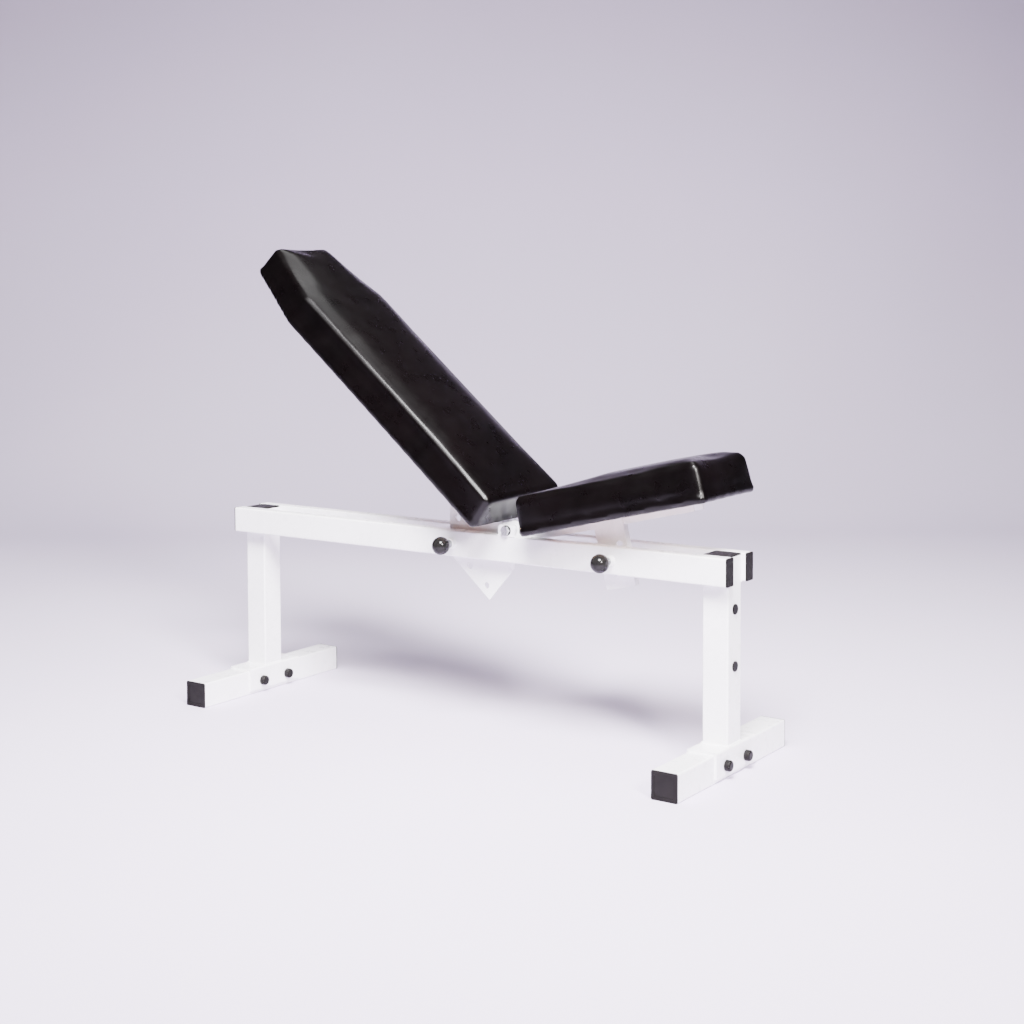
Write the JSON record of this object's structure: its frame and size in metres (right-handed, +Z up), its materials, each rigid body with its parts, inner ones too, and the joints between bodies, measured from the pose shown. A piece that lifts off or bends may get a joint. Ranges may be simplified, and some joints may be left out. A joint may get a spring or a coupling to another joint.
{
  "type": "adjustable weight bench",
  "caption": "Weight bench on a twin-rail steel frame: the padded backrest tilts from flat to 85 degrees and the padded seat from 7 to 20, each held at its angle by a spring-loaded pull pin.",
  "frame": {"origin": "on the floor, midway between the two feet, which is the middle of the bounding box", "axes": "+X along the rails from the head end to the foot end, +Y across towards the far side (the pull pins are on the -Y side), +Z up"},
  "size_m": [1.1808, 0.418, 0.944],
  "materials": {
    "white_paint": "gloss",
    "zinc_steel": "satin",
    "spring_steel": "satin",
    "black_vinyl": "satin",
    "pad_foam": "matte",
    "plywood": "matte",
    "black_plastic": "satin",
    "knob_plastic": "polished"
  },
  "bodies": {
    "frame": {"near_rail": "white_paint", "far_rail": "white_paint", "near_rail_front_cap": "black_plastic", "near_rail_rear_cap": "black_plastic", "far_rail_front_cap": "black_plastic", "far_rail_rear_cap": "black_plastic", "front_post": "white_paint", "rear_post": "white_paint", "front_post_plug": "black_plastic", "rear_post_plug": "black_plastic", "front_foot": "white_paint", "rear_foot": "white_paint", "front_foot_near_cap": "black_plastic", "front_foot_far_cap": "black_plastic", "rear_foot_near_cap": "black_plastic", "rear_foot_far_cap": "black_plastic", "front_saddle": "white_paint", "rear_saddle": "white_paint", "foot_bolts": "zinc_steel", "foot_nuts": "zinc_steel", "bolt_covers": "black_plastic", "post_hole_plugs": "black_plastic", "near_ear": "white_paint", "far_ear": "white_paint", "pivot_bolt": "zinc_steel", "pivot_nut": "zinc_steel", "pivot_washers": "black_plastic", "near_spacer": "zinc_steel", "far_spacer": "zinc_steel", "backrest_pin_barrel": "white_paint", "seat_pin_barrel": "white_paint", "backrest_pin_bush": "zinc_steel", "seat_pin_bush": "zinc_steel", "backrest_pin_spring": "spring_steel", "seat_pin_spring": "spring_steel"},
    "backrest": {"backrest_cover": "black_vinyl", "backrest_foam": "pad_foam", "backrest_board": "plywood", "backrest_spine": "white_paint", "sector_plate": "white_paint", "backrest_hinge_plate": "white_paint", "backrest_screws": "zinc_steel"},
    "seat": {"seat_cover": "black_vinyl", "seat_foam": "pad_foam", "seat_board": "plywood", "seat_spine": "white_paint", "seat_adjuster": "white_paint", "seat_sleeve": "zinc_steel", "seat_screws": "zinc_steel"},
    "backrest_pin": {"backrest_pin": "zinc_steel", "backrest_knob": "knob_plastic"},
    "seat_pin": {"seat_pin": "zinc_steel", "seat_knob": "knob_plastic"}
  },
  "joints": [
    {"name": "backrest_tilt", "type": "hinge", "parent": "frame", "child": "backrest", "pos_m": [0.12, 0, 0.4025], "axis": [0, 1, 0], "range_deg": [-40, 45]},
    {"name": "seat_tilt", "type": "hinge", "parent": "frame", "child": "seat", "pos_m": [0.12, 0, 0.4025], "axis": [0, -1, 0], "range_deg": [-6.75, 6.75]},
    {"name": "backrest_pin_pull", "type": "slide", "parent": "frame", "child": "backrest_pin", "axis": [0, -1, 0], "range_m": [-0.0085, 0], "stiffness_N_per_m": 600, "springref_m": -0.02, "deforming": ["backrest_pin_spring"]},
    {"name": "seat_pin_pull", "type": "slide", "parent": "frame", "child": "seat_pin", "axis": [0, -1, 0], "range_m": [-0.0085, 0], "stiffness_N_per_m": 600, "springref_m": -0.02, "deforming": ["seat_pin_spring"]}
  ]
}
